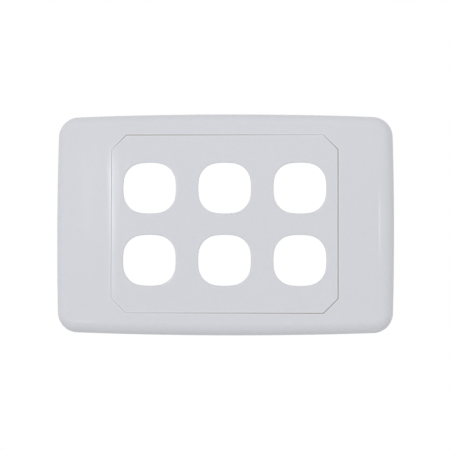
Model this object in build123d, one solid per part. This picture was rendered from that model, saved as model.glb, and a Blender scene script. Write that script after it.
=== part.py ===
"""Blank switch wall plate for six snap-in mechanisms: a grid plate and the surround that pushes on over it.

Each piece is drawn lying on its back, with x along the plate, y up the wall and z out of the wall.
At the end it is stood against the wall plane: the back is at Y = 0 and the front faces -Y.
"""
import os
from math import asin, cos, degrees, radians, sin, sqrt, tan

from build123d import *

# Openings for the mechanisms: squares with bowed sides and wide corners
COLUMNS = 3
ROWS = 2
COLUMN_PITCH = 25.7
ROW_PITCH = 24.7
APERTURE_WIDTH = 18.0
APERTURE_HEIGHT = 17.4
APERTURE_SIDE_RADIUS = 22.0
APERTURE_CORNER_RADIUS = 6.6
APERTURE_CHAMFER = 0.3

# Panel of the grid plate, from the outer openings to the seam, and the seam round it
PANEL_END_MARGIN = 3.9
PANEL_LONG_MARGIN = 9.3
PANEL_CHAMFER = 5.0
SEAM_GAP = 0.2
SEAM_CHAMFER = 0.2
PANEL_LENGTH = (COLUMNS - 1) * COLUMN_PITCH + APERTURE_WIDTH + 2 * PANEL_END_MARGIN
PANEL_HEIGHT = (ROWS - 1) * ROW_PITCH + APERTURE_HEIGHT + 2 * PANEL_LONG_MARGIN

# Outline of the whole plate, measured from the panel to the middles of the bowed sides
END_BORDER = 19.4
LONG_BORDER = 7.65
END_BOW = 0.6
LONG_BOW = 1.15
CORNER_RADIUS = 7.0
PLATE_LENGTH = PANEL_LENGTH + 2 * END_BORDER
PLATE_HEIGHT = PANEL_HEIGHT + 2 * LONG_BORDER

# Front form: flat in the middle, a soft ridge at the panel's short sides, then wings that fall to the ends
PROJECTION = 10.5
RIDGE_RADIUS = 80.0
RIDGE_TURN = 3.2
WING_RADIUS = 330.0
RIM_RADIUS = 4.5

# Surround
SURROUND_WALL = 2.0
LIP_WALL = 1.4
LIP_DEPTH = 3.6
SURROUND_RIB_WALL = 1.2
SURROUND_RIB_FOOT = 4.6
WING_RIB_Y = 13.0
LONG_RIBS = 3
LONG_RIB_PITCH = 28.0
PRY_NOTCH_WIDTH = 9.0
PRY_NOTCH_HEIGHT = 1.2

# Pegs on the surround and the sockets that grip them
PEG_FROM_PANEL = 8.9
PEG_FROM_EDGE = 11.5
PEG_LENGTH = 3.6
PEG_THICKNESS = 2.2
PEG_TIP = 1.0
PEG_TIP_CHAMFER = 0.5
PEG_CLEARANCE = 0.05
SOCKET_WALL = 1.3
SOCKET_HEIGHT = 5.6

# Grid plate
GRID_WALL = 2.0
FLANGE_THICKNESS = 2.0
FLANGE_CLEARANCE = 0.4
RIB_WALL = 1.4
RIB_FOOT = 1.6
COLLAR_WALL = 1.2
COLLAR_DEPTH = 1.6
CATCH_WIDTH = 7.0
CATCH_REACH = 0.9
CATCH_HEIGHT = 1.8
GUSSET_WALL = 1.4
GUSSET_REACH = 2.6
GUSSET_HEIGHT = 2.2
LONG_GUSSET_X = 14.0
WING_GUSSET_Y = 14.0

# Fixing slots beside the panel, the raised seats round them and the scallops that clear the screw heads
FIXING_FROM_PANEL = 3.4
FIXING_CENTRES = PANEL_LENGTH + 2 * FIXING_FROM_PANEL
SLOT_WIDTH = 4.2
SLOT_LENGTH = 6.0
SEAT_MARGIN = 1.6
SEAT_HEIGHT = 0.8
HEAD_RADIUS = 4.0
HEAD_HEIGHT = 3.0

# Cuts start this far outside the material, and what is fused to a wall starts this deep inside it
OVERCUT = 1.0
ROOT = 0.3


def prism(face, low, high):
    """Face carried straight up from height low to height high."""
    return Pos(0, 0, low) * extrude(face, amount=high - low)


def cells():
    """Centres of the mechanism openings."""
    return list(GridLocations(COLUMN_PITCH, ROW_PITCH, COLUMNS, ROWS))


def peg_places():
    """Centres of the four pegs and their sockets."""
    x = PANEL_LENGTH / 2 + PEG_FROM_PANEL
    y = PLATE_HEIGHT / 2 - PEG_FROM_EDGE
    return list(GridLocations(2 * x, 2 * y, 2, 2))


def fixing_places():
    """Centres of the two fixing slots."""
    return list(GridLocations(FIXING_CENTRES, 1, 2, 1))


def outline(inset):
    """Plate outline, drawn in by inset: four bowed sides with rounded corners between them."""
    half_length, half_height = PLATE_LENGTH / 2, PLATE_HEIGHT / 2
    corner_x, corner_y = half_length - END_BOW, half_height - LONG_BOW
    top = ThreePointArc((-corner_x, corner_y), (0, half_height), (corner_x, corner_y))
    right = ThreePointArc((corner_x, corner_y), (half_length, 0), (corner_x, -corner_y))
    bottom = ThreePointArc((corner_x, -corner_y), (0, -half_height), (-corner_x, -corner_y))
    left = ThreePointArc((-corner_x, -corner_y), (-half_length, 0), (-corner_x, corner_y))
    face = make_face(Curve() + [top, right, bottom, left])
    face = fillet(face.vertices(), CORNER_RADIUS)
    return offset(face, amount=-inset) if inset else face


def panel_outline(grow):
    """Eight-sided outline of the panel, grown by grow on every side."""
    face = Rectangle(PANEL_LENGTH, PANEL_HEIGHT)
    face = chamfer(face.vertices(), PANEL_CHAMFER)
    return offset(face, amount=grow, kind=Kind.INTERSECTION) if grow else face


def aperture_outline():
    """Opening for one mechanism: a shallow arc on each side and a corner arc between each two."""
    disc = Circle(APERTURE_SIDE_RADIUS)
    shift_x, shift_y = APERTURE_SIDE_RADIUS - APERTURE_WIDTH / 2, APERTURE_SIDE_RADIUS - APERTURE_HEIGHT / 2
    between_sides = Pos(-shift_x, 0) * disc & Pos(shift_x, 0) * disc
    between_top_and_bottom = Pos(0, -shift_y) * disc & Pos(0, shift_y) * disc
    face = between_sides & between_top_and_bottom
    return fillet(face.vertices(), APERTURE_CORNER_RADIUS)


def crown():
    """Block under the front form, a little longer and higher than the plate, carried straight along y.

    Its section is flat over the panel, turns by RIDGE_TURN on the ridge's arc and goes on as the wing's arc.
    """
    turn = radians(RIDGE_TURN)
    ridge_x = PANEL_LENGTH / 2 - RIDGE_RADIUS * tan(turn / 2)
    ridge_centre = (ridge_x, PROJECTION - RIDGE_RADIUS)
    ridge_end = (ridge_x + RIDGE_RADIUS * sin(turn), ridge_centre[1] + RIDGE_RADIUS * cos(turn))
    wing_centre = (ridge_end[0] - WING_RADIUS * sin(turn), ridge_end[1] - WING_RADIUS * cos(turn))
    end_x = PLATE_LENGTH / 2 + OVERCUT
    end_turn = asin((end_x - wing_centre[0]) / WING_RADIUS)
    end_z = wing_centre[1] + WING_RADIUS * cos(end_turn)
    half = Curve() + [
        Line((0, -PROJECTION), (0, PROJECTION)),
        Line((0, PROJECTION), (ridge_x, PROJECTION)),
        CenterArc(ridge_centre, RIDGE_RADIUS, 90, -RIDGE_TURN),
        CenterArc(wing_centre, WING_RADIUS, 90 - RIDGE_TURN, RIDGE_TURN - degrees(end_turn)),
        Line((end_x, end_z), (end_x, -PROJECTION)),
        Line((end_x, -PROJECTION), (0, -PROJECTION)),
    ]
    half = make_face(half)
    profile = half + mirror(half, about=Plane.YZ)
    return extrude(Plane.XZ * profile, amount=PLATE_HEIGHT / 2 + OVERCUT, both=True)


def crowned_form(inset, back):
    """The plate's form with a sharp rim, drawn in by inset on front and sides, from height back up."""
    return prism(outline(inset), back, PROJECTION + OVERCUT) & Pos(0, 0, -inset) * crown()


def rim_edges(form):
    """Edges between front and sides of a crowned form, without the ridge's lines, which run along y."""
    edges = form.edges().filter_by(Axis.Z, reverse=True).filter_by(Axis.Y, reverse=True)
    return edges.filter_by_position(Axis.Z, PROJECTION / 2, PROJECTION)


def seam_edges(solid, grow):
    """Front edges of solid that follow the panel's outline grown by grow."""
    half_length, half_height = PANEL_LENGTH / 2 + grow, PANEL_HEIGHT / 2 + grow
    corner_sum = PANEL_LENGTH / 2 + PANEL_HEIGHT / 2 - PANEL_CHAMFER + grow * sqrt(2)
    near = SEAM_GAP / 4

    def is_on_seam(edge):
        x, y = abs(edge.center().X), abs(edge.center().Y)
        on_side = abs(x - half_length) < near or abs(y - half_height) < near
        return on_side or abs(x + y - corner_sum) < near

    level = solid.edges().filter_by(Axis.Z, reverse=True)
    front = level.filter_by_position(Axis.Z, PROJECTION - LIP_DEPTH / 2, PROJECTION + OVERCUT)
    return front.filter_by(is_on_seam)


def mouth_edges(box):
    """Front edges of the openings in the panel box."""

    near_x, near_y = APERTURE_WIDTH / 2 + ROOT, APERTURE_HEIGHT / 2 + ROOT

    def is_in_a_cell(edge):
        offsets = [edge.center() - place.position for place in cells()]
        return any(abs(offset.X) < near_x and abs(offset.Y) < near_y for offset in offsets)

    front = box.edges().filter_by_position(Axis.Z, PROJECTION - ROOT, PROJECTION + ROOT)
    return front.filter_by(GeomType.CIRCLE).filter_by(is_in_a_cell)


def make_surround():
    """Cover frame: a crowned shell with an eight-sided opening, a lip, ribs, four pegs and a pry notch."""
    outside = crowned_form(0, 0)
    outside = fillet(rim_edges(outside), RIM_RADIUS)
    # A chamfer that touches the true inside radius keeps the wall even behind the rolled rim
    cavity = crowned_form(SURROUND_WALL, -OVERCUT)
    cavity = chamfer(rim_edges(cavity), (RIM_RADIUS - SURROUND_WALL) * (2 - sqrt(2)))

    lip = prism(panel_outline(SEAM_GAP + LIP_WALL), PROJECTION - LIP_DEPTH, PROJECTION)
    rib_lines = [
        Pos(0, y) * Rectangle(PLATE_LENGTH, SURROUND_RIB_WALL)
        for y in (-WING_RIB_Y, WING_RIB_Y)
    ] + [
        place * Rectangle(SURROUND_RIB_WALL, PLATE_HEIGHT)
        for place in GridLocations(LONG_RIB_PITCH, 1, LONG_RIBS, 1)
    ]
    ribs = prism(Sketch() + rib_lines, SURROUND_RIB_FOOT, PROJECTION)
    peg = prism(Rectangle(PEG_THICKNESS, PEG_LENGTH), PEG_TIP, PROJECTION)
    peg = chamfer(peg.edges().group_by(Axis.Z)[0], PEG_TIP_CHAMFER)
    pegs = [place * peg for place in peg_places()]

    inner_features = (lip + ribs + pegs) & crowned_form(SURROUND_WALL - ROOT, 0)
    surround = outside - cavity + inner_features
    surround -= prism(panel_outline(SEAM_GAP), -OVERCUT, PROJECTION + OVERCUT)
    surround = chamfer(seam_edges(surround, SEAM_GAP), SEAM_CHAMFER)
    notch = Pos(0, -PLATE_HEIGHT / 2) * Rectangle(PRY_NOTCH_WIDTH, 2 * (SURROUND_WALL + ROOT))
    return surround - prism(notch, -OVERCUT, PRY_NOTCH_HEIGHT)


def panel_box():
    """Raised panel of the grid plate, still solid behind, with its openings and softened front edges."""
    box = prism(panel_outline(0), 0, PROJECTION + OVERCUT) & crowned_form(0, 0)
    box = chamfer(seam_edges(box, 0), SEAM_CHAMFER)
    for place in cells():
        box -= place * prism(aperture_outline(), -OVERCUT, PROJECTION + OVERCUT)
    return chamfer(mouth_edges(box), APERTURE_CHAMFER)


def rear_ribs():
    """Ribs that part the mechanism cells, and a square collar behind each opening."""
    lines = [
        place * Rectangle(RIB_WALL, PANEL_HEIGHT)
        for place in GridLocations(COLUMN_PITCH, 1, COLUMNS - 1, 1)
    ] + [
        place * Rectangle(PANEL_LENGTH, RIB_WALL)
        for place in GridLocations(1, ROW_PITCH, 1, ROWS + 1)
    ]
    panel_back = PROJECTION - GRID_WALL
    ribs = prism(Sketch() + lines, RIB_FOOT, panel_back + ROOT)
    collar = Rectangle(APERTURE_WIDTH + 2 * COLLAR_WALL, APERTURE_HEIGHT + 2 * COLLAR_WALL)
    for place in cells():
        ribs += place * prism(collar, panel_back - COLLAR_DEPTH, panel_back + ROOT)
    return ribs


def catches():
    """Wedges above and below each opening, on the row ribs, that the mechanisms snap past from behind."""
    top = RIB_FOOT + CATCH_HEIGHT
    tip = -RIB_WALL / 2 - CATCH_REACH
    profile = make_face(Polyline((0, RIB_FOOT), (tip, top), (0, top), close=True))
    wedge = Pos(0, ROW_PITCH / 2) * extrude(Plane.YZ * profile, amount=CATCH_WIDTH / 2, both=True)
    pair = [wedge, mirror(wedge, about=Plane.XZ)]
    return [place * one for place in cells() for one in pair]


def gussets():
    """Triangular gussets between the panel box and the flange, two on each of the four sides."""
    low = FLANGE_THICKNESS - ROOT
    top = FLANGE_THICKNESS + GUSSET_HEIGHT
    foot = [(-ROOT, low), (GUSSET_REACH, low), (GUSSET_REACH, FLANGE_THICKNESS)]
    profile = make_face(Polyline(*foot, (0, top), (-ROOT, top), close=True))
    gusset = extrude(Plane.YZ * profile, amount=GUSSET_WALL / 2, both=True)
    above = [Pos(x, PANEL_HEIGHT / 2) * gusset for x in (-LONG_GUSSET_X, LONG_GUSSET_X)]
    left = [Pos(-PANEL_LENGTH / 2, y) * Rot(0, 0, 90) * gusset for y in (-WING_GUSSET_Y, WING_GUSSET_Y)]
    below = [mirror(one, about=Plane.XZ) for one in above]
    right = [mirror(one, about=Plane.YZ) for one in left]
    return above + left + below + right


def flange():
    """Base against the wall, with the four sockets and the raised seats of the fixing slots."""
    base = prism(outline(SURROUND_WALL + FLANGE_CLEARANCE), 0, FLANGE_THICKNESS)
    bore = Rectangle(PEG_THICKNESS + 2 * PEG_CLEARANCE, PEG_LENGTH + 2 * PEG_CLEARANCE)
    for place in peg_places():
        base += place * prism(offset(bore, amount=SOCKET_WALL, kind=Kind.INTERSECTION), 0, SOCKET_HEIGHT)
        base -= place * prism(bore, -OVERCUT, SOCKET_HEIGHT + OVERCUT)
    seat = SlotOverall(SLOT_LENGTH + 2 * SEAT_MARGIN, SLOT_WIDTH + 2 * SEAT_MARGIN)
    for place in fixing_places():
        base += place * prism(seat, 0, FLANGE_THICKNESS + SEAT_HEIGHT)
    return base


def make_grid_plate():
    """Inner plate: a flange against the wall, the raised panel box and all that carries the mechanisms."""
    panel_back = PROJECTION - GRID_WALL
    plate = flange() + panel_box() + gussets()
    plate -= prism(panel_outline(-GRID_WALL), -OVERCUT, panel_back)
    plate += (rear_ribs() + catches()) & prism(panel_outline(ROOT - GRID_WALL), 0, PROJECTION)
    for place in cells():
        plate -= place * prism(aperture_outline(), -OVERCUT, panel_back + ROOT)
    seat_z = FLANGE_THICKNESS + SEAT_HEIGHT
    for place in fixing_places():
        plate -= place * prism(SlotOverall(SLOT_LENGTH, SLOT_WIDTH), -OVERCUT, seat_z + OVERCUT)
        plate -= place * prism(Circle(HEAD_RADIUS), seat_z, seat_z + HEAD_HEIGHT)
    return plate


def main():
    """Stand both pieces against the wall plane and write one STEP file for each."""
    os.makedirs("parts", exist_ok=True)
    pieces = {"grid_plate": make_grid_plate(), "surround": make_surround()}
    for name, solid in pieces.items():
        export_step(Plane.XZ * solid, f"parts/{name}.step")


if __name__ == "__main__":
    main()
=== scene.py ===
"""Wall plate: the surround and the grid plate as moulded, on a pale floor under soft light.

Shapes are worked out lying on their backs, in millimetres: x along the plate, y up the wall, h out of it.
"""

import bmesh
import bpy
import numpy as np
from bpy.props import FloatProperty, FloatVectorProperty, PointerProperty
from mathutils import Matrix, Vector


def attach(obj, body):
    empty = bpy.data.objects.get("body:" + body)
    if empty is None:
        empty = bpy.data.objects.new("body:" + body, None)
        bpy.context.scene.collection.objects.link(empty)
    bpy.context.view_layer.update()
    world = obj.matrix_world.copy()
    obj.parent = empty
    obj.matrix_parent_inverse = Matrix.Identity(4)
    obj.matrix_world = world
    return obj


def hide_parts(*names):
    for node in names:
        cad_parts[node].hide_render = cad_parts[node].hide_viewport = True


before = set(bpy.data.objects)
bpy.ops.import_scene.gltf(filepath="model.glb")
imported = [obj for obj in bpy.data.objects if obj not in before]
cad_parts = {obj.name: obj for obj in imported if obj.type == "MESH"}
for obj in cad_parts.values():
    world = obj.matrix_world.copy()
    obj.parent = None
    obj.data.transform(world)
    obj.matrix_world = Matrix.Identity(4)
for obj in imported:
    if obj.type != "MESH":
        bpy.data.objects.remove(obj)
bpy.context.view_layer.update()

bl_info = {
    "name": "Wall plate",
    "version": (1, 0, 0),
    "blender": (4, 5, 0),
    "location": "3D View > Sidebar > Wall plate",
    "description": "Builds the surround and the grid plate of a six-opening switch wall plate",
    "category": "Object",
}

MM = 0.001

# Vertices this near to each other are one, and an edge sharper than this angle shows as an edge
MERGED = 0.0005 * MM
SHARP = float(np.radians(30))
# In millimetres: nearness that counts as touching, and how near a form a solid's face is taken for part of it
TOUCHING = 0.001
NEAR_FRONT, NEAR_PANEL, NEAR_SIDE = 0.3, 0.1, 0.35
NEAR_CHAMFER, CHAMFER_DEPTH = 0.16, 0.25
# A face that faces one way at least this much is square to it
SQUARE_ON = 0.9
# From this share of the lips' depth on, a point is on the wall under them
UNDER_LIPS = 0.9
# Parameters along a quarter of an outline, close enough to measure a distance from
CLOSE = np.linspace(0, 3, 1201)

PLASTIC_NAME = "Moulded polycarbonate, soft white"
SMOOTH = {"interpolation_type": "SMOOTHSTEP"}
WHITE = (1, 1, 1, 1)

# The floor's grid lines each way, and in metres its half size, its level, and how far out the camera starts to
# see white and sees only white
FLOOR_LINES = 19
FLOOR_HALF, FLOOR_LEVEL = 0.9, -0.16
WHITE_FROM, WHITE_TO = 0.25, 0.75
# Where the light from all round is brightest, out from the wall and to the left
BRIGHTEST = (-0.27, -0.95, 0.0)
# The lamps' plane, and each lamp's name, its sides and its lower and upper edge, all in millimetres, then its
# radiance, its tint and whether it fades towards its sides
LAMP_PLANE = -886
COOL, PLAIN = (0.95, 0.96, 1), (1, 1, 1)
LAMPS = (
    ("Key softbox", (-232, -122), (-16, 93), 4.1, COOL, True),
    ("Wing sheen", (-335, -232), (-16, 105), 0.5, COOL, True),
    ("Rim strip", (311, 337), (19, 65), 4.2, COOL, False),
    ("Low card", (-316, -272), (-112, -84), 9, PLAIN, False),
)
# The camera stands a little right of the plate's middle and a little below it, and leans by an eighth of a
# degree. Its turns are in degrees, the point it looks at in millimetres and its distance from there in metres
CAMERA_YAW, CAMERA_PITCH, CAMERA_ROLL = 2.13, -2.49, 0.12
CAMERA_AIM = (-0.035, -5.25, -0.078)
CAMERA_DISTANCE = 0.615
CAMERA_LENS, CAMERA_SENSOR = 142.9, 36


# Values and colours


def linear(hex_colour):
    """Linear red, green and blue of an sRGB hex colour."""
    values = np.array([int(hex_colour[i:i + 2], 16) for i in (1, 3, 5)]) / 255
    values = np.where(values <= 0.04045, values / 12.92, ((values + 0.055) / 1.055) ** 2.4)
    return tuple(float(v) for v in values)


def millimetres(name, description, default):
    """A length property: default is in millimetres, and the property holds metres."""
    return FloatProperty(name=name, description=description, default=default * MM, min=0, unit="LENGTH")


def colour(name, description, hex_colour):
    """A colour property."""
    return FloatVectorProperty(name=name, description=description, default=linear(hex_colour),
                               subtype="COLOR", size=3, min=0, max=1)


class WallPlateSizes(bpy.types.PropertyGroup):
    """Sizes of the plate. Its rim, shoulder, seam and draft are finer than the solids have them."""

    length: millimetres("Length", "Length of the plate, in the middle of its bowed ends", 116.0)
    height: millimetres("Height", "Height of the plate, in the middle of its bowed long sides", 76.0)
    projection: millimetres("Projection", "How far the flat front stands off the wall", 10.5)
    end_bow: millimetres("End bow", "How far each short side bows out", 0.6)
    long_bow: millimetres("Long bow", "How far each long side bows out", 1.15)
    corner_radius: millimetres("Corner radius", "Radius of the outline's corners", 7.0)
    rim_radius: millimetres("Rim radius", "Radius of the rolled rim", 4.0)
    solid_rim: millimetres("Solid rim", "Radius of the rim that the solid has", 4.5)
    ridge_radius: millimetres("Ridge radius", "Radius of the soft ridge beside the panel", 80.0)
    ridge_turn: FloatProperty(name="Ridge turn", description="Angle that the front turns on the ridge",
                              default=float(np.radians(3.2)), subtype="ANGLE", unit="ROTATION")
    wing_radius: millimetres("Wing radius", "Radius of the falling wings", 330.0)
    shoulder: millimetres("Shoulder", "Where the wing starts to turn down, from the plate's middle", 52.0)
    shoulder_radius: millimetres("Shoulder radius", "Radius of the turn from the wing down to the rim", 25.0)
    panel_length: millimetres("Panel length", "Length of the centre panel", 77.2)
    panel_height: millimetres("Panel height", "Height of the centre panel", 60.7)
    panel_cut: millimetres("Panel cut", "Size of the panel's cut corners", 5.0)
    seam_gap: millimetres("Seam gap", "Gap between panel and surround, down inside", 0.2)
    seam_mouth: millimetres("Seam mouth", "Gap between the lips of panel and surround, at the front", 0.05)
    panel_left: millimetres("Panel shift left", "How far the panel sits left in the surround's opening", 0.03)
    seam_left: millimetres("Seam shift left", "How much further out the seam's left side stands", 0.09)
    seam_up: millimetres("Seam shift up", "How far the whole seam stands above the plate's middle", 0.1)
    seam_blend: millimetres("Seam blend", "Width beside the seam over which its shifts fade out", 1.5)
    side_blend: millimetres("Side blend", "Way along the left side over which its shift grows", 3.0)
    seam_edge: millimetres("Seam edge", "Rounding of the edges along the seam", 0.06)
    seam_lip: millimetres("Seam lip", "Depth of the lips that close the seam's mouth", 0.5)
    solid_chamfer: millimetres("Solid chamfer", "Chamfer that the solids have along the seam", 0.2)
    column_pitch: millimetres("Column pitch", "Distance between the columns of openings", 25.7)
    row_pitch: millimetres("Row pitch", "Distance between the rows of openings", 24.7)
    opening_width: millimetres("Opening width", "Width of an opening, between its bowed sides", 18.0)
    opening_height: millimetres("Opening height", "Height of an opening, between its bowed sides", 17.4)
    opening_side: millimetres("Opening side radius", "Radius of an opening's bowed sides", 22.0)
    opening_corner: millimetres("Opening corner radius", "Radius of an opening's corners", 6.6)
    opening_edge: millimetres("Opening edge", "Rounding of the front edge of an opening", 0.3)
    opening_depth: millimetres("Opening depth", "Depth of an opening's wall and the collar behind it", 3.6)
    opening_draft: millimetres("Opening draft", "How far an opening's wall widens to its back", 0.45)
    notch_width: millimetres("Notch width", "Width of the pry notch in the lower side", 9.0)
    notch_height: millimetres("Notch height", "Height of the pry notch off the wall", 1.2)


class WallPlateFinish(bpy.types.PropertyGroup):
    """Colours and gloss of the mouldings and the stage."""

    plastic: colour("Plastic", "Soft white of both mouldings", "#D5D6DC")
    flow: colour("Flow marks", "Slightly warmer white where the melt flowed", "#D3D4D9")
    # A dark warm tint in the seam: partly dust, partly painted shade of the gap
    seam_dust_and_shade: colour("Seam dust", "Fine dust that settles in the seam", "#857504")
    # A painted highlight: brighter white on the edges beside the seam, where they catch the light
    painted_edge_highlight: colour("Burnish", "Brighter white that handling leaves on the edges of the seam", "#E2E4EE")
    roughness: FloatProperty(name="Roughness", description="Roughness of the moulded surface", default=0.075,
                             min=0, max=1, subtype="FACTOR")
    floor: colour("Floor", "Pale floor under the plate", "#FCFCFC")
    surroundings: FloatProperty(name="Surroundings", description="Brightness of the light from all round",
                                default=0.56, min=0)
    from_front: FloatProperty(name="From the front", description="How much brighter it is from the front",
                              default=1.1, min=0)


# Curves and forms, as formulas on whole arrays


def sizes_in_mm():
    """The plate's sizes as plain numbers, in millimetres, and the ridge's turn in radians."""
    group = bpy.context.scene.wall_plate_sizes
    values = {name: getattr(group, name) / MM for name in group.__annotations__}
    values["ridge_turn"] = group.ridge_turn
    return values


def bowed_outline(s, half_length, half_height, end_radius, long_radius, corner_radius, inset):
    """Points and outward normals on a quarter of a bowed rectangle, drawn in by inset.

    s runs from 0 at the middle of the top, past 1 and 2 at the ends of the corner arc, to 3 at the middle of
    the right side. Top, corner and side are arcs that touch each other. The corner's centre is where the
    circles of radius long_radius - corner_radius and end_radius - corner_radius about the other two centres
    cross. A point is its arc's centre plus the arc's radius, less inset, along the normal at angle phi from
    straight up.
    """
    top_centre = np.array([0.0, half_height - long_radius])
    end_centre = np.array([half_length - end_radius, 0.0])
    a, b = long_radius - corner_radius, end_radius - corner_radius
    between = end_centre - top_centre
    span = np.hypot(*between)
    along = (a ** 2 - b ** 2 + span ** 2) / (2 * span)
    across = np.sqrt(a ** 2 - along ** 2)
    unit = between / span
    corner_centre = top_centre + along * unit + across * np.array([-unit[1], unit[0]])
    if corner_centre[0] < 0 or corner_centre[1] < 0:
        corner_centre = top_centre + along * unit - across * np.array([-unit[1], unit[0]])
    start = np.arcsin(corner_centre[0] / a)
    end = np.pi / 2 - np.arcsin(corner_centre[1] / b)
    phi = np.interp(s, [0, 1, 2, 3], [0, start, end, np.pi / 2])
    part = np.digitize(s, [1, 2])
    centres = np.array([top_centre, corner_centre, end_centre])[part]
    radii = np.array([long_radius, corner_radius, end_radius])[part] - inset
    normals = np.stack([np.sin(phi), np.cos(phi)], -1)
    return centres + radii[:, None] * normals, normals


def plate_outline(z, s, inset):
    """A quarter of the plate's outline, drawn in by inset.

    An arc's radius is the square of half its chord plus the square of its bow, over twice the bow.
    """
    chord_x, chord_y = z["length"] / 2 - z["end_bow"], z["height"] / 2 - z["long_bow"]
    long_radius = (chord_x ** 2 + z["long_bow"] ** 2) / (2 * z["long_bow"])
    end_radius = (chord_y ** 2 + z["end_bow"] ** 2) / (2 * z["end_bow"])
    return bowed_outline(s, z["length"] / 2, z["height"] / 2, end_radius, long_radius, z["corner_radius"],
                         inset)


def opening_outline(z, s, inset):
    """A quarter of an opening's outline about its own centre, drawn in by inset."""
    return bowed_outline(s, z["opening_width"] / 2, z["opening_height"] / 2, z["opening_side"],
                         z["opening_side"], z["opening_corner"], inset)[0]


def panel_outline(z, s, grow):
    """A quarter of the panel's eight-sided outline, grown by grow.

    s runs from 0 at the middle of the top to 1 and 2 at the ends of the cut corner and 3 at the middle of the
    side. A vertex moves out by grow, and along its straight side by grow times the tangent of 22.5 degrees.
    """
    half_x, half_y = z["panel_length"] / 2, z["panel_height"] / 2
    right, top = half_x + grow, half_y + grow
    shift = grow * (np.sqrt(2) - 1)
    cut_x, cut_y = half_x - z["panel_cut"] + shift, half_y - z["panel_cut"] + shift
    return np.stack([np.interp(s, [0, 1, 2, 3], [0, cut_x, right, right]),
                     np.interp(s, [0, 1, 2, 3], [top, top, cut_y, 0])], -1)


def past_panel(z, points):
    """Distance in plan past the panel's outline, below zero inside it.

    With x and y folded into one quarter it is the largest of x less half the length, y less half the height,
    and (x + y less their sum at the cut corner) over the square root of two.
    """
    x, y = np.abs(points[:, 0]), np.abs(points[:, 1])
    half_x, half_y = z["panel_length"] / 2, z["panel_height"] / 2
    return np.max([x - half_x, y - half_y, (x + y - half_x - half_y + z["panel_cut"]) / np.sqrt(2)], axis=0)


def with_seam(z, points, weight):
    """The points moved with the seam, by a weight of 0 to 1: all of them up, and its left side left.

    The move to the left grows evenly from nothing at the cut corners to all of it a little way along the
    side, and from nothing to all of it over the same way towards the panel's left end.
    """
    half_x, half_y = z["panel_length"] / 2, z["panel_height"] / 2
    from_cut = half_y - z["panel_cut"] - np.abs(points[:, 1])
    from_left = half_x + points[:, 0]
    at_left = np.clip(from_cut / z["side_blend"], 0, 1) * np.clip(2 - from_left / z["side_blend"], 0, 1)
    moved = points.copy()
    moved[:, 0] -= weight * at_left * z["seam_left"]
    moved[:, 1] += weight * z["seam_up"]
    return moved


def crown(z, x, depth):
    """Height and slope of the front form at x, drawn in by depth along its own normal.

    Flat over the panel, then an arc of the ridge's radius that turns by the ridge's turn, then the wing's
    arc, then the shoulder's. Each arc's centre lies on the line through the last one's centre and the point
    where they touch, and it stays when the form is drawn in: the height is the centre's plus (radius - depth)
    · cos(slope), where sin(slope) is the distance from the centre over the same radius.
    """
    turn, front = z["ridge_turn"], z["projection"]
    ridge_x = z["panel_length"] / 2 - z["ridge_radius"] * np.tan(turn / 2)
    ridge_h = front - z["ridge_radius"]
    wing_x = ridge_x + (z["ridge_radius"] - z["wing_radius"]) * np.sin(turn)
    wing_h = ridge_h + (z["ridge_radius"] - z["wing_radius"]) * np.cos(turn)
    last = np.arcsin((z["shoulder"] - wing_x) / z["wing_radius"])
    shoulder_x = wing_x + (z["wing_radius"] - z["shoulder_radius"]) * np.sin(last)
    shoulder_h = wing_h + (z["wing_radius"] - z["shoulder_radius"]) * np.cos(last)
    x = np.abs(x)
    ridge, wing, shoulder = (z[name] - depth for name in ("ridge_radius", "wing_radius", "shoulder_radius"))
    on_ridge = np.arcsin(np.clip((x - ridge_x) / ridge, 0, 1))
    on_wing = np.arcsin(np.clip((x - wing_x) / wing, 0, 1))
    on_shoulder = np.arcsin(np.clip((x - shoulder_x) / shoulder, 0, 1))
    where = [x <= ridge_x, on_ridge <= turn, on_wing <= last]
    slope = np.select(where, [0 * x, on_ridge, on_wing], on_shoulder)
    height = np.select(where, [0 * x + front - depth, ridge_h + ridge * np.cos(on_ridge),
                               wing_h + wing * np.cos(on_wing)], shoulder_h + shoulder * np.cos(on_shoulder))
    return height, slope


def on_front(z, xy, depth=0):
    """Points of the front form at places in plan, or straight under it by depth."""
    return np.column_stack([xy, crown(z, xy[:, 0], 0)[0] - depth])


def below_front(z, points):
    """How far under the front form the points are."""
    return crown(z, points[:, 0], 0)[0] - points[:, 2]


def seam_weight(z, points, beyond):
    """How much of the seam's moves the points take. Beyond is their distance from it into their piece.

    All of it at the seam, evenly less over the blend, and none on the walls under the lips.
    """
    weight = np.clip(1 - beyond / z["seam_blend"], 0, 1)
    weight[(beyond > -TOUCHING) & (below_front(z, points) > UNDER_LIPS * z["seam_lip"])] = 0
    return weight


def quarter_round(steps):
    """Sines and cosines of steps + 1 even angles from 0 to a right angle."""
    angle = np.linspace(0, np.pi / 2, steps + 1)
    return np.sin(angle), np.cos(angle)


def sheet(rows):
    """Vertices and quads of a grid of points of shape (rows, columns, 3)."""
    down, across = rows.shape[:2]
    index = np.arange(down * across).reshape(down, across)
    quads = np.stack([index[:-1, :-1], index[:-1, 1:], index[1:, 1:], index[1:, :-1]], -1)
    return rows.reshape(-1, 3), quads.reshape(-1, 4)


def gathered(patches):
    """One set of vertices and quads from several patches."""
    starts = np.cumsum([0] + [len(points) for points, _ in patches[:-1]])
    return (np.concatenate([points for points, _ in patches]),
            np.concatenate([quads + start for (_, quads), start in zip(patches, starts)]))


def mirrored(patch):
    """The upper right quarter's patch in all four quarters. A mirrored quarter's quads are turned round."""
    points, quads = patch
    signs = [(1, 1), (-1, 1), (-1, -1), (1, -1)]
    return gathered([(points * (sx, sy, 1), quads if sx * sy > 0 else quads[:, ::-1]) for sx, sy in signs])


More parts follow.
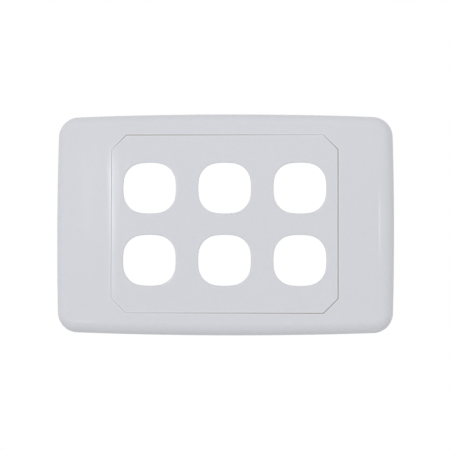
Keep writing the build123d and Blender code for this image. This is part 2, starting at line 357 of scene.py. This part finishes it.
def surround_skin(z):
    """The surround's outside, from the seam's wall over the front and the rolled rim down to the wall plane.

    One grid per quarter. Its columns run round the plate. Its rows follow the section: a quarter round at the
    seam, straight lines over the crowned front, the rim and the skirt. The rim is the path of a ball that
    rolls inside both front and side: the ball's centre is drawn in by the rim's radius from both, and a row's
    direction from it turns evenly from the front's normal to the side's.
    """
    notch = z["notch_width"] / 2
    fine = np.linspace(0, 1, 2001)
    at_notch = np.interp([notch, notch + 2 * TOUCHING], plate_outline(z, fine, 0)[0][:, 0], fine)
    over_top, over_corner, over_side = np.linspace(0, 1, 181), np.linspace(1, 2, 33), np.linspace(2, 3, 111)
    s = np.unique(np.concatenate([over_top, over_corner, over_side, at_notch]))

    edge, lip = z["seam_edge"], z["seam_lip"]
    mouth = (z["seam_gap"] + z["seam_mouth"]) / 2
    rounding = [(mouth + edge * (1 - cosine), edge * (1 - sine)) for sine, cosine in zip(*quarter_round(5))]
    rows = [on_front(z, panel_outline(z, s, grow), depth)
            for grow, depth in [(z["seam_gap"], lip), (mouth, lip), *rounding]]

    radius = z["rim_radius"]
    centre_xy, side = plate_outline(z, s, radius)
    centre_h, slope = crown(z, centre_xy[:, 0], radius)
    centre = np.column_stack([centre_xy, centre_h])
    front_normal = np.column_stack([np.sin(slope), np.zeros_like(slope), np.cos(slope)])
    side_normal = np.column_stack([side, np.zeros(len(s))])
    contact = centre + radius * front_normal

    # The power sets the rows a little closer together beside the seam
    inner = rows[-1]
    for t in np.linspace(0, 1, 45)[1:-1] ** 1.15:
        rows.append(on_front(z, inner[:, :2] + t * (contact - inner)[:, :2]))

    turn = np.arccos(np.sum(front_normal * side_normal, 1))[:, None]
    for t in np.linspace(0, 1, 17):
        direction = (np.sin((1 - t) * turn) * front_normal + np.sin(t * turn) * side_normal) / np.sin(turn)
        rows.append(centre + radius * direction)

    skirt = rows[-1]
    for t in (0.25, 0.6, 1):
        rows.append(np.column_stack([skirt[:, :2], skirt[:, 2] * (1 - t)]))
    points, quads = mirrored(sheet(np.array(rows)))
    points = with_seam(z, points, seam_weight(z, points, past_panel(z, points) - z["seam_gap"]))

    in_notch = (np.abs(points[:, 0]) <= notch + TOUCHING) & (points[:, 2] < z["notch_height"])
    in_notch &= points[:, 1] < -z["height"] / 2 + z["long_bow"]
    points[in_notch, 2] = z["notch_height"]
    return points, quads


def round_an_opening(z, boundary, centre):
    """A ring from the back of an opening's wall, over its rounded front edge, out to a boundary on the panel.

    The column for a boundary point starts where the ray from the opening's centre to that point crosses the
    opening, found from the outline's own angles.
    """
    ray = boundary - centre
    fine = np.linspace(0, 3, 3001)
    outline = opening_outline(z, fine, 0)
    angle = np.arctan2(outline[:, 0], outline[:, 1])
    s = np.interp(np.arctan2(np.abs(ray[:, 0]), np.abs(ray[:, 1])), angle, fine)
    sign = np.where(ray < 0, -1, 1)
    edge, front = z["opening_edge"], z["projection"]

    def ring(inset, height):
        """The opening's outline at one height."""
        return np.column_stack([centre + opening_outline(z, s, inset) * sign, np.full(len(s), height)])

    rows = [ring(t * -z["opening_draft"], front - edge - t * (z["opening_depth"] - edge)) for t in (1, 0.5)]
    rows += [ring(-edge * (1 - cosine), front - edge * (1 - sine)) for sine, cosine in zip(*quarter_round(6))]
    inner = rows[-1]
    for t in np.linspace(0, 1, 15)[1:]:
        rows.append(on_front(z, inner[:, :2] + t * (boundary - inner[:, :2])))
    return sheet(np.array(rows))


def panel_skin(z):
    """The panel's front with its openings, as rings round the openings that meet on the lines between them.

    Its edge is a quarter round down to the lip along the seam, and the lip's underside back to the wall.
    """
    edge, lip = z["seam_edge"], z["seam_lip"]
    mouth = (z["seam_gap"] - z["seam_mouth"]) / 2
    half_pitch = z["column_pitch"] / 2
    centre_y = z["row_pitch"] / 2
    cut = half_pitch / panel_outline(z, np.array([1.0]), mouth - edge)[0, 0]
    top_s = np.linspace(0, cut, 25)
    rest_s = np.unique(np.concatenate([
        np.linspace(cut, 1, 49), np.linspace(1, 2, 17), np.linspace(2, 3, 65)]))
    top, rest = panel_outline(z, top_s, mouth - edge), panel_outline(z, rest_s, mouth - edge)
    line_y = np.linspace(top[-1, 1], 0, 61)
    between = np.column_stack([np.full(len(line_y), half_pitch), line_y])
    foot_x = np.linspace(half_pitch, 0, 25)
    foot = np.column_stack([foot_x, np.zeros(len(foot_x))])
    side_x = np.linspace(rest[-1, 0], half_pitch, 51)
    side_foot = np.column_stack([side_x, np.zeros(len(side_x))])

    half_middle = np.concatenate([top, between[1:], foot[1:]])
    corner = np.concatenate([rest, side_foot[1:], between[::-1][1:]])
    patches = [round_an_opening(z, half_middle, np.array([0.0, centre_y])),
               round_an_opening(z, corner, np.array([z["column_pitch"], centre_y]))]

    s = np.unique(np.concatenate([top_s, rest_s]))
    rounding = [(mouth - edge * (1 - sine), edge * (1 - cosine)) for sine, cosine in zip(*quarter_round(5))]
    rows = [on_front(z, panel_outline(z, s, grow), depth)
            for grow, depth in [*rounding, (mouth, lip), (0, lip)]]
    patches.append(sheet(np.array(rows)))
    points, quads = mirrored(gathered(patches))
    weight = seam_weight(z, points, -past_panel(z, points))
    points = with_seam(z, points, weight)
    points[:, 0] -= weight * z["panel_left"]
    return points, quads


# From arrays to meshes


def to_frame(points):
    """Points lying on their backs, in millimetres, to the standing frame in metres."""
    return np.column_stack([points[:, 0], -points[:, 2], points[:, 1]]) * MM


def on_back(vectors):
    """Vectors of the standing frame as they are lying on their backs."""
    return np.column_stack([vectors[:, 0], vectors[:, 2], -vectors[:, 1]])


def new_mesh_object(name, points, quads):
    """An object with the given mesh, its doubled vertices merged and its faces pointing outwards."""
    mesh = bpy.data.meshes.new(name)
    mesh.from_pydata(to_frame(points).tolist(), [], quads.tolist())
    shape = bmesh.new()
    shape.from_mesh(mesh)
    bmesh.ops.remove_doubles(shape, verts=shape.verts, dist=MERGED)
    shape.to_mesh(mesh)
    shape.free()
    made = bpy.data.objects.new(name, mesh)
    bpy.context.scene.collection.objects.link(made)
    return made


def rear_of(node, is_front, move=None):
    """A merged copy of a solid without the faces that is_front picks, by their centres and normals in mm.

    Where move is given, it takes the points of what is left, in mm, and returns their new places.
    """
    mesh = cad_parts[node].data.copy()
    shape = bmesh.new()
    shape.from_mesh(mesh)
    bmesh.ops.remove_doubles(shape, verts=shape.verts, dist=MERGED)
    middle = on_back(np.array([face.calc_center_median() for face in shape.faces]) / MM)
    normal = on_back(np.array([face.normal for face in shape.faces]))
    gone = is_front(middle, normal)
    bmesh.ops.delete(shape, geom=[face for face, drop in zip(shape.faces, gone) if drop], context="FACES")
    shape.to_mesh(mesh)
    shape.free()
    if move:
        places = np.empty(len(mesh.vertices) * 3)
        mesh.vertices.foreach_get("co", places)
        moved = move(on_back(places.reshape(-1, 3) / MM))
        mesh.vertices.foreach_set("co", to_frame(moved).ravel())
    made = bpy.data.objects.new(node + "_rear", mesh)
    bpy.context.scene.collection.objects.link(made)
    return made


def fuse(name, front, rear):
    """Front and rear as one object called name, smooth apart from its sharp edges."""
    both = [front, rear]
    with bpy.context.temp_override(active_object=front, object=front, selected_editable_objects=both):
        bpy.ops.object.join()
    front.name = name
    front.data.name = name
    front.data.materials.clear()
    front.data.polygons.foreach_set("use_smooth", np.ones(len(front.data.polygons), dtype=bool))
    front.data.set_sharp_from_angle(angle=SHARP)
    return front


def nearest_on(curve, points):
    """Distance in plan from each point to a closed curve given by close points in its upper right quarter."""
    folded = np.abs(points[:, :2])
    return np.min(np.linalg.norm(folded[:, None] - curve[None], axis=2), axis=1)


def opening_centres(z, points):
    """For each point, the centre of the opening that it is at."""
    column = np.round(points[:, 0] / z["column_pitch"]) * z["column_pitch"]
    row = np.where(points[:, 1] > 0, 0.5, -0.5) * z["row_pitch"]
    return np.column_stack([column, row])


# Materials


def add(tree, kind, place, settings=None, inputs=None):
    """Adds one node with its settings, and its inputs as values or as sockets to link from."""
    node = tree.nodes.new(kind)
    node.location = place
    for name, value in (settings or {}).items():
        setattr(node, name, value)
    for key, value in (inputs or {}).items():
        if isinstance(value, bpy.types.NodeSocket):
            tree.links.new(value, node.inputs[key])
        else:
            node.inputs[key].default_value = value
    return node


def new_material(name):
    """An empty node material with its output, as (material, tree, output)."""
    material = bpy.data.materials.new(name)
    material.use_nodes = True
    material.node_tree.nodes.clear()
    output = material.node_tree.nodes.new("ShaderNodeOutputMaterial")
    output.location = (900, 0)
    return material, material.node_tree, output


def seam_distance(tree, z, at):
    """Distance in metres from the seam's middle line, in the plane of the wall.

    With x and z moved back by the seam's shifts and folded into one quarter, the signed distance to the
    panel's outline is the largest of x less half the length, z less half the height, and (x + z less their
    sum at the cut) over the square root of two.
    """
    half_x = (z["panel_length"] + z["seam_gap"]) / 2 * MM
    half_z = (z["panel_height"] + z["seam_gap"]) / 2 * MM
    total = half_x + half_z - (z["panel_cut"] - z["seam_gap"] / 2 * (2 - 2 ** 0.5)) * MM
    coordinates = add(tree, "ShaderNodeTexCoord", (at, -500))
    split = add(tree, "ShaderNodeSeparateXYZ", (at + 160, -500), inputs={0: coordinates.outputs["Object"]})
    leftward = add(tree, "ShaderNodeMapRange", (at + 160, -300), inputs={
        "Value": split.outputs["X"], "From Min": -half_x, "From Max": z["side_blend"] * MM - half_x,
        "To Min": z["seam_left"] * MM, "To Max": 0.0})
    evened = add(tree, "ShaderNodeMath", (at + 240, -420), {"operation": "ADD"},
                 {0: split.outputs["X"], 1: leftward.outputs["Result"]})
    fold_x = add(tree, "ShaderNodeMath", (at + 320, -420), {"operation": "ABSOLUTE"}, {0: evened.outputs[0]})
    level = add(tree, "ShaderNodeMath", (at + 240, -700), {"operation": "SUBTRACT"},
                {0: split.outputs["Z"], 1: z["seam_up"] * MM})
    fold_z = add(tree, "ShaderNodeMath", (at + 320, -600), {"operation": "ABSOLUTE"}, {0: level.outputs[0]})
    past_x = add(tree, "ShaderNodeMath", (at + 480, -420), {"operation": "SUBTRACT"},
                 {0: fold_x.outputs[0], 1: half_x})
    past_z = add(tree, "ShaderNodeMath", (at + 480, -600), {"operation": "SUBTRACT"},
                 {0: fold_z.outputs[0], 1: half_z})
    both = add(tree, "ShaderNodeMath", (at + 480, -780), {"operation": "ADD"},
               {0: fold_x.outputs[0], 1: fold_z.outputs[0]})
    past_cut = add(tree, "ShaderNodeMath", (at + 640, -780), {"operation": "MULTIPLY_ADD"},
                   {0: both.outputs[0], 1: 0.5 ** 0.5, 2: -total * 0.5 ** 0.5})
    larger = add(tree, "ShaderNodeMath", (at + 640, -500), {"operation": "MAXIMUM"},
                 {0: past_x.outputs[0], 1: past_z.outputs[0]})
    largest = add(tree, "ShaderNodeMath", (at + 800, -600), {"operation": "MAXIMUM"},
                  {0: larger.outputs[0], 1: past_cut.outputs[0]})
    return add(tree, "ShaderNodeMath", (at + 960, -600), {"operation": "ABSOLUTE"},
               {0: largest.outputs[0]}).outputs[0]


def moulded_polycarbonate(z, finish):
    """Injection-moulded polycarbonate, in the soft white of switch plates.

    It comes out of a mould that is polished on the front: the eye gets soft reflections, a grain that only
    shows close up, and a tone that drifts a little where the melt flowed. The seam's line is tinted dark and
    warm, partly as fine dust and partly as painted shade in the gap, and the edges beside it are lightened
    as a painted highlight.
    """
    material, tree, output = new_material(PLASTIC_NAME)
    place = add(tree, "ShaderNodeTexCoord", (-1100, 200)).outputs["Object"]
    # Sizes of the patterns in mm. The melt's drift is tens of millimetres across. The mould's grain is near
    # 0.15 mm, and it is drawn at 0.45 mm, the finest that shows at this size. Shrinkage leaves soft ripples,
    # tall and narrow, two or three hundredths of a millimetre deep
    drift_size, grain_size, ripple_size = 35, 0.45, (5, 5, 60)
    grain_depth, ripple_depth = 0.02, 0.08
    drift = add(tree, "ShaderNodeTexNoise", (-900, 300), inputs={
        "Vector": place, "Scale": 1 / (drift_size * MM), "Detail": 3.0, "Roughness": 0.55})
    drifted = add(tree, "ShaderNodeMix", (-650, 300), {"data_type": "RGBA"},
                  {"Factor": drift.outputs["Fac"], "A": (*finish.plastic, 1), "B": (*finish.flow, 1)})
    grain = add(tree, "ShaderNodeTexNoise", (-900, 0), inputs={
        "Vector": place, "Scale": 1 / (grain_size * MM), "Detail": 4.0, "Roughness": 0.6})
    toned = add(tree, "ShaderNodeMapRange", (-650, 60), inputs={
        "Value": grain.outputs["Fac"], "To Min": 0.95, "To Max": 1.05})
    grained = add(tree, "ShaderNodeMix", (-400, 250), {"data_type": "RGBA", "blend_type": "MULTIPLY"},
                  {"Factor": 1.0, "A": drifted.outputs["Result"], "B": toned.outputs["Result"]})

    # Dust with painted seam shade, and a painted highlight on the edges beside the seam, cover this share of
    # the plastic near the seam. Between two distances from its middle line, in mm, they thin out to nothing,
    # and so they do down inside it, between two heights off the wall
    cover, dust_and_shade_fades, edge_highlight_fades = 0.6, (0.09, 0.26), (0.3, 0.6)
    clean_below, full_above = 9.6, 10.1
    distance = seam_distance(tree, z, -1500)
    # Painted seam shade with dust: the dark warm tint near the seam's middle line
    dust_and_shade = add(tree, "ShaderNodeMapRange", (-400, -400), SMOOTH, {
        "Value": distance, "From Min": dust_and_shade_fades[0] * MM, "From Max": dust_and_shade_fades[1] * MM,
        "To Min": cover, "To Max": 0.0})
    # Painted highlight on the edges beside the seam
    edge_highlight_mask = add(tree, "ShaderNodeMapRange", (-400, -600), SMOOTH, {
        "Value": distance, "From Min": edge_highlight_fades[0] * MM, "From Max": edge_highlight_fades[1] * MM,
        "To Min": cover, "To Max": 0.0})
    split = add(tree, "ShaderNodeSeparateXYZ", (-1100, -900), inputs={0: place})
    shallow = add(tree, "ShaderNodeMapRange", (-400, -1100), SMOOTH, {
        "Value": split.outputs["Y"], "From Min": -full_above * MM, "From Max": -clean_below * MM,
        "To Min": 1.0, "To Max": 0.0})

    # The dust and painted seam shade lie unevenly: along the top they thin out to the right, along the bottom
    # to the left, and the right end of the seam holds more of them than the left end, which is all but closed
    corner = z["panel_length"] * z["panel_height"] / 4 * MM ** 2
    end, end_from, end_to = 38.7, 33.5, 38.5
    crosswise = add(tree, "ShaderNodeMath", (-900, -900), {"operation": "MULTIPLY"},
                    {0: split.outputs["X"], 1: split.outputs["Z"]})
    along = add(tree, "ShaderNodeMapRange", (-700, -900), inputs={
        "Value": crosswise.outputs[0], "From Min": -corner, "From Max": corner,
        "To Min": 1.05, "To Max": 0.18})
    ends = add(tree, "ShaderNodeMapRange", (-700, -1150), inputs={
        "Value": split.outputs["X"], "From Min": -end * MM, "From Max": end * MM,
        "To Min": 0.42, "To Max": 1.0})
    outward = add(tree, "ShaderNodeMath", (-900, -1400), {"operation": "ABSOLUTE"}, {0: split.outputs["X"]})
    at_end = add(tree, "ShaderNodeMapRange", (-700, -1400), inputs={
        "Value": outward.outputs[0], "From Min": end_from * MM, "From Max": end_to * MM})
    # How much painted seam shade and dust each part of the seam gets
    dust_and_shade_spread = add(tree, "ShaderNodeMix", (-500, -900), inputs={
        "Factor": at_end.outputs["Result"], "A": along.outputs["Result"], "B": ends.outputs["Result"]})
    reached = add(tree, "ShaderNodeMath", (-250, -800), {"operation": "MULTIPLY"},
                  {0: dust_and_shade_spread.outputs["Result"], 1: shallow.outputs["Result"]})
    dust_and_shade_share = add(tree, "ShaderNodeMath", (-250, -400), {"operation": "MULTIPLY"},
                 {0: dust_and_shade.outputs["Result"], 1: reached.outputs[0]})
    edge_highlight_share = add(tree, "ShaderNodeMath", (-250, -600), {"operation": "MULTIPLY"},
                  {0: edge_highlight_mask.outputs["Result"], 1: shallow.outputs["Result"]})
    # The edges beside the seam lightened with the painted highlight
    edge_highlighted = add(tree, "ShaderNodeMix", (-250, 350), {"data_type": "RGBA"},
                    {"Factor": edge_highlight_share.outputs[0], "A": grained.outputs["Result"], "B": (*finish.painted_edge_highlight, 1)})
    # The seam line tinted dark and warm: partly dust, partly painted shade
    dust_and_shade_tinted = add(tree, "ShaderNodeMix", (-150, 200), {"data_type": "RGBA"},
                {"Factor": dust_and_shade_share.outputs[0], "A": edge_highlighted.outputs["Result"], "B": (*finish.seam_dust_and_shade, 1)})

    # The mould is polished on the front alone, so the sides turn dull, between two heights off the wall in mm
    dull_to, glossy_from, dullness, unevenness = 5, 8.5, 0.4, 0.02
    polished = add(tree, "ShaderNodeMapRange", (-400, -100), inputs={
        "Value": drift.outputs["Fac"], "To Min": finish.roughness - unevenness,
        "To Max": finish.roughness + unevenness})
    dulled = add(tree, "ShaderNodeMapRange", (-400, -950), SMOOTH, {
        "Value": split.outputs["Y"], "From Min": -glossy_from * MM, "From Max": -dull_to * MM,
        "To Min": 0.0, "To Max": dullness})
    gloss = add(tree, "ShaderNodeMath", (-150, -100), {"operation": "ADD"},
                {0: polished.outputs["Result"], 1: dulled.outputs["Result"]})

    stretched = add(tree, "ShaderNodeMapping", (-900, -250), inputs={
        "Vector": place, "Scale": [1 / (size * MM) for size in ripple_size]})
    ripple = add(tree, "ShaderNodeTexNoise", (-700, -250), inputs={
        "Vector": stretched.outputs[0], "Scale": 1.0, "Detail": 1.0})
    waved = add(tree, "ShaderNodeBump", (-350, -300), inputs={
        "Strength": 1.0, "Distance": ripple_depth * MM, "Height": ripple.outputs["Fac"]})
    bump = add(tree, "ShaderNodeBump", (-150, -300), inputs={
        "Strength": 0.1, "Distance": grain_depth * MM, "Height": grain.outputs["Fac"],
        "Normal": waved.outputs["Normal"]})
    shader = add(tree, "ShaderNodeBsdfPrincipled", (300, 100), inputs={
        "Base Color": dust_and_shade_tinted.outputs["Result"], "Roughness": gloss.outputs[0], "IOR": 1.585,
        "Normal": bump.outputs["Normal"]})
    tree.links.new(shader.outputs[0], output.inputs[0])
    return material


def painted_floor(finish):
    """Matt painted board: it keeps the plate's soft shadow, and further out the camera sees plain white."""
    material, tree, output = new_material("Matt painted board, pale")
    place = add(tree, "ShaderNodeTexCoord", (-900, 0)).outputs["Object"]
    # The roller leaves a faint mottle 4 mm across
    mottle_size, mottle = 4, 0.985
    speckle = add(tree, "ShaderNodeTexNoise", (-700, 200), inputs={
        "Vector": place, "Scale": 1 / (mottle_size * MM), "Detail": 3.0})
    tone = add(tree, "ShaderNodeMix", (-450, 200), {"data_type": "RGBA"}, {
        "Factor": speckle.outputs["Fac"], "A": (*[c * mottle for c in finish.floor], 1),
        "B": (*finish.floor, 1)})
    paint = add(tree, "ShaderNodeBsdfPrincipled", (-150, 200), inputs={
        "Base Color": tone.outputs["Result"], "Roughness": 0.8})
    white = add(tree, "ShaderNodeEmission", (-150, -100), inputs={"Color": WHITE, "Strength": 1.0})
    length = add(tree, "ShaderNodeVectorMath", (-700, -200), {"operation": "LENGTH"}, {0: place})
    far = add(tree, "ShaderNodeMapRange", (-450, -200), SMOOTH, {
        "Value": length.outputs["Value"], "From Min": WHITE_FROM, "From Max": WHITE_TO})
    share = add(tree, "ShaderNodeMath", (-150, -300), {"operation": "MULTIPLY"},
                {0: far.outputs["Result"], 1: seen_directly(tree, -700, -450)})
    mix = add(tree, "ShaderNodeMixShader", (300, 0), inputs={
        0: share.outputs[0], 1: paint.outputs[0], 2: white.outputs[0]})
    tree.links.new(mix.outputs[0], output.inputs[0])
    return material


def seen_directly(tree, x, y):
    """1 for what the camera, a reflection or a clear pane sees, and 0 for light on its way to a surface."""
    path = add(tree, "ShaderNodeLightPath", (x, y))
    first = add(tree, "ShaderNodeMath", (x + 180, y), {"operation": "MAXIMUM"},
                {0: path.outputs["Is Camera Ray"], 1: path.outputs["Is Glossy Ray"]})
    return add(tree, "ShaderNodeMath", (x + 360, y), {"operation": "MAXIMUM"},
               {0: first.outputs[0], 1: path.outputs["Is Transmission Ray"]}).outputs[0]


def plastic():
    """The one plastic that both mouldings share, made on first use."""
    found = bpy.data.materials.get(PLASTIC_NAME)
    return found or moulded_polycarbonate(sizes_in_mm(), bpy.context.scene.wall_plate_finish)


# Operators, one for each piece and one for the stage


class WALLPLATE_OT_surround(bpy.types.Operator):
    """Build the cover frame: a smooth outside over the solid's own inside, ribs and pegs"""

    bl_idname = "wall_plate.surround"
    bl_label = "Surround"

    def execute(self, context):
        z = sizes_in_mm()
        outline = plate_outline(z, CLOSE, 0)[0]
        seam = panel_outline(z, CLOSE, z["seam_gap"] + z["solid_chamfer"] / 2)
        rim_radius = z["solid_rim"]

        def is_front(middle, normal):
            """On the front, the rim, the skirt or the seam's chamfer."""
            under = below_front(z, middle)
            front = (normal[:, 2] > SQUARE_ON) & (under < NEAR_FRONT)
            to_edge = nearest_on(outline, middle)
            # The rim's faces look outwards and not to the wall, and lie near the ball that rolled along it
            facing_out = np.sum(normal[:, :2] * np.sign(middle[:, :2]), 1) > 0.02
            rim = facing_out & (to_edge < rim_radius + 0.1) & (normal[:, 2] > -0.5)
            ball = (rim_radius - to_edge).clip(0) ** 2 + (rim_radius - under).clip(0) ** 2
            rim &= (ball > (rim_radius - NEAR_SIDE) ** 2) | (to_edge < NEAR_SIDE)
            chamfer = (nearest_on(seam, middle) < NEAR_CHAMFER) & (under < CHAMFER_DEPTH)
            return front | rim | chamfer

        piece = fuse("surround_moulding", new_mesh_object("surround_front", *surround_skin(z)),
                     rear_of("surround", is_front))
        piece.data.materials.append(plastic())
        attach(piece, "cover")
        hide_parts("surround")
        return {"FINISHED"}


class WALLPLATE_OT_grid_plate(bpy.types.Operator):
    """Build the inner plate: a smooth panel with rounded openings over the solid's own back and flange"""

    bl_idname = "wall_plate.grid_plate"
    bl_label = "Grid plate"

    def execute(self, context):
        z = sizes_in_mm()
        opening = opening_outline(z, np.linspace(0, 3, 901), 0)
        seam = panel_outline(z, CLOSE, -z["solid_chamfer"] / 2)

        def is_front(middle, normal):
            """On the panel's front, the seam's chamfer, or an opening's wall and chamfer."""
            under = below_front(z, middle)
            front = (normal[:, 2] > SQUARE_ON) & (under < NEAR_PANEL)
            chamfer = (nearest_on(seam, middle) < NEAR_CHAMFER) & (under < CHAMFER_DEPTH)
            from_centre = middle[:, :2] - opening_centres(z, middle)
            wall = (nearest_on(opening, from_centre) < NEAR_SIDE) & (np.abs(normal[:, 2]) < SQUARE_ON)
            wall &= under < z["opening_depth"]
            return front | chamfer | wall

        def draft(points):
            """The collars' inner edges moved out to the drafted walls' back edges."""
            s = np.linspace(0, 3, 1801)
            inner, outer = opening_outline(z, s, 0), opening_outline(z, s, -z["opening_draft"])
            near_edge, near_back = 0.06, 0.05
            centre = opening_centres(z, points)
            away = points[:, :2] - centre
            gap = np.linalg.norm(np.abs(away)[:, None] - inner[None], axis=2)
            nearest = np.argmin(gap, axis=1)
            on_edge = np.min(gap, axis=1) < near_edge
            on_edge &= np.abs(points[:, 2] - z["projection"] + z["opening_depth"]) < near_back
            moved = points.copy()
            moved[on_edge, :2] = (centre + np.where(away < 0, -1, 1) * outer[nearest])[on_edge]
            return moved

        piece = fuse("grid_plate_moulding", new_mesh_object("panel_front", *panel_skin(z)),
                     rear_of("grid_plate", is_front, draft))
        piece.data.materials.append(plastic())
        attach(piece, "grid")
        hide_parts("grid_plate")
        return {"FINISHED"}


def softbox(name, x, height, radiance, tint, fading):
    """A rectangular lamp in one plane before the wall, between two x and two heights in mm, facing the wall.

    Its power is radiance times pi times its area. A fading one is brightest along its upright middle line,
    falls evenly to nothing at its sides, and its lower third glows at a quarter of that.
    """
    size = np.array([x[1] - x[0], height[1] - height[0]]) * MM
    data = bpy.data.lights.new(name, "AREA")
    data.shape = "RECTANGLE"
    data.size, data.size_y = size
    data.energy = radiance * np.pi * size[0] * size[1]
    data.color = tint
    if fading:
        # The fade across is worth a half in the middle. It is multiplied by dim up to one share of the lamp's
        # height, and by bright from another share on
        dim_to, bright_from, dim, bright = 0.34, 0.44, 0.5, 2.0
        data.use_nodes = True
        tree = data.node_tree
        tree.nodes.clear()
        across = add(tree, "ShaderNodeNewGeometry", (-900, 0)).outputs["Parametric"]
        split = add(tree, "ShaderNodeSeparateXYZ", (-720, 0), inputs={0: across})
        to_side = add(tree, "ShaderNodeMath", (-540, 100), {"operation": "PINGPONG"},
                      {0: split.outputs["X"], 1: 0.5})
        upward = add(tree, "ShaderNodeMapRange", (-540, -100), inputs={
            "Value": split.outputs["Y"], "From Min": dim_to, "From Max": bright_from,
            "To Min": dim, "To Max": bright})
        strength = add(tree, "ShaderNodeMath", (-360, 0), {"operation": "MULTIPLY"},
                       {0: to_side.outputs[0], 1: upward.outputs["Result"]})
        glow = add(tree, "ShaderNodeEmission", (-180, 0), inputs={
            "Color": WHITE, "Strength": strength.outputs[0]})
        add(tree, "ShaderNodeOutputLight", (0, 0), inputs={0: glow.outputs[0]})
    lamp = bpy.data.objects.new(name, data)
    lamp.location = Vector((sum(x) / 2, LAMP_PLANE, sum(height) / 2)) * MM
    lamp.rotation_euler = (np.pi / 2, 0, 0)
    bpy.context.scene.collection.objects.link(lamp)


class WALLPLATE_OT_stage(bpy.types.Operator):
    """Set the pale floor, the soft light and the camera of the photograph"""

    bl_idname = "wall_plate.stage"
    bl_label = "Stage"

    def execute(self, context):
        scene = context.scene
        finish = scene.wall_plate_finish
        scene.view_settings.view_transform = "Standard"

        lines = np.linspace(-FLOOR_HALF, FLOOR_HALF, FLOOR_LINES)
        x, y = np.meshgrid(lines, lines)
        points, quads = sheet(np.stack([x, y, np.full_like(x, FLOOR_LEVEL)], -1))
        mesh = bpy.data.meshes.new("floor")
        mesh.from_pydata(points.tolist(), [], quads[:, ::-1].tolist())
        floor = bpy.data.objects.new("floor", mesh)
        floor.data.materials.append(painted_floor(finish))
        scene.collection.objects.link(floor)

        world = bpy.data.worlds.new("Soft surroundings")
        world.use_nodes = True
        tree = world.node_tree
        tree.nodes.clear()
        # Strength = even part + front part * square of the cosine of the angle to the brightest direction
        direction = add(tree, "ShaderNodeTexCoord", (-600, 300)).outputs["Generated"]
        toward = add(tree, "ShaderNodeVectorMath", (-400, 300), {"operation": "DOT_PRODUCT"},
                     {0: direction, 1: tuple(Vector(BRIGHTEST).normalized())})
        ahead = add(tree, "ShaderNodeMath", (-300, 300), {"operation": "MAXIMUM"},
                    {0: toward.outputs["Value"], 1: 0.0})
        lobe = add(tree, "ShaderNodeMath", (-250, 300), {"operation": "POWER"}, {0: ahead.outputs[0], 1: 2.0})
        strength = add(tree, "ShaderNodeMath", (-200, 300), {"operation": "MULTIPLY_ADD"},
                       {0: lobe.outputs[0], 1: finish.from_front, 2: finish.surroundings})
        sky = add(tree, "ShaderNodeBackground", (0, 100), inputs={
            "Color": WHITE, "Strength": strength.outputs[0]})
        white = add(tree, "ShaderNodeBackground", (0, -100), inputs={"Color": WHITE, "Strength": 1.0})
        mix = add(tree, "ShaderNodeMixShader", (250, 0), inputs={
            0: seen_directly(tree, -600, 0), 1: sky.outputs[0], 2: white.outputs[0]})
        add(tree, "ShaderNodeOutputWorld", (450, 0), inputs={0: mix.outputs[0]})
        scene.world = world

        for lamp in LAMPS:
            softbox(*lamp)

        yaw, pitch, roll = np.radians([CAMERA_YAW, CAMERA_PITCH, CAMERA_ROLL])
        back = Vector((np.sin(yaw) * np.cos(pitch), -np.cos(yaw) * np.cos(pitch), np.sin(pitch)))
        right = Vector((np.cos(yaw), np.sin(yaw), 0))
        leaned = np.cos(roll) * right + np.sin(roll) * back.cross(right)
        turned = Matrix((leaned, back.cross(leaned), back)).transposed().to_4x4()
        data = bpy.data.cameras.new("Camera")
        data.sensor_width = CAMERA_SENSOR
        data.lens = CAMERA_LENS
        data.clip_start = 0.01
        camera = bpy.data.objects.new("Camera", data)
        camera.matrix_world = Matrix.Translation(Vector(CAMERA_AIM) * MM + CAMERA_DISTANCE * back) @ turned
        scene.collection.objects.link(camera)
        scene.camera = camera
        return {"FINISHED"}


class WALLPLATE_PT_panel(bpy.types.Panel):
    """Sizes, finish and pieces of the wall plate"""

    bl_idname = "WALLPLATE_PT_panel"
    bl_label = "Wall plate"
    bl_space_type = "VIEW_3D"
    bl_region_type = "UI"
    bl_category = "Wall plate"

    def draw(self, context):
        for operator in OPERATORS:
            self.layout.operator(operator.bl_idname)
        for group in (context.scene.wall_plate_sizes, context.scene.wall_plate_finish):
            box = self.layout.box()
            for name in group.__annotations__:
                box.prop(group, name)


OPERATORS = (WALLPLATE_OT_surround, WALLPLATE_OT_grid_plate, WALLPLATE_OT_stage)
CLASSES = (WallPlateSizes, WallPlateFinish, *OPERATORS, WALLPLATE_PT_panel)


def register():
    """Make the add-on's classes and values known to Blender."""
    for cls in CLASSES:
        bpy.utils.register_class(cls)
    bpy.types.Scene.wall_plate_sizes = PointerProperty(type=WallPlateSizes)
    bpy.types.Scene.wall_plate_finish = PointerProperty(type=WallPlateFinish)


def unregister():
    """Take the add-on's classes and values away again."""
    del bpy.types.Scene.wall_plate_finish
    del bpy.types.Scene.wall_plate_sizes
    for cls in reversed(CLASSES):
        bpy.utils.unregister_class(cls)


def main():
    """Register the add-on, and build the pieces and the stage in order."""
    register()
    bpy.ops.wall_plate.surround()
    bpy.ops.wall_plate.grid_plate()
    bpy.ops.wall_plate.stage()


if __name__ == "__main__":
    main()
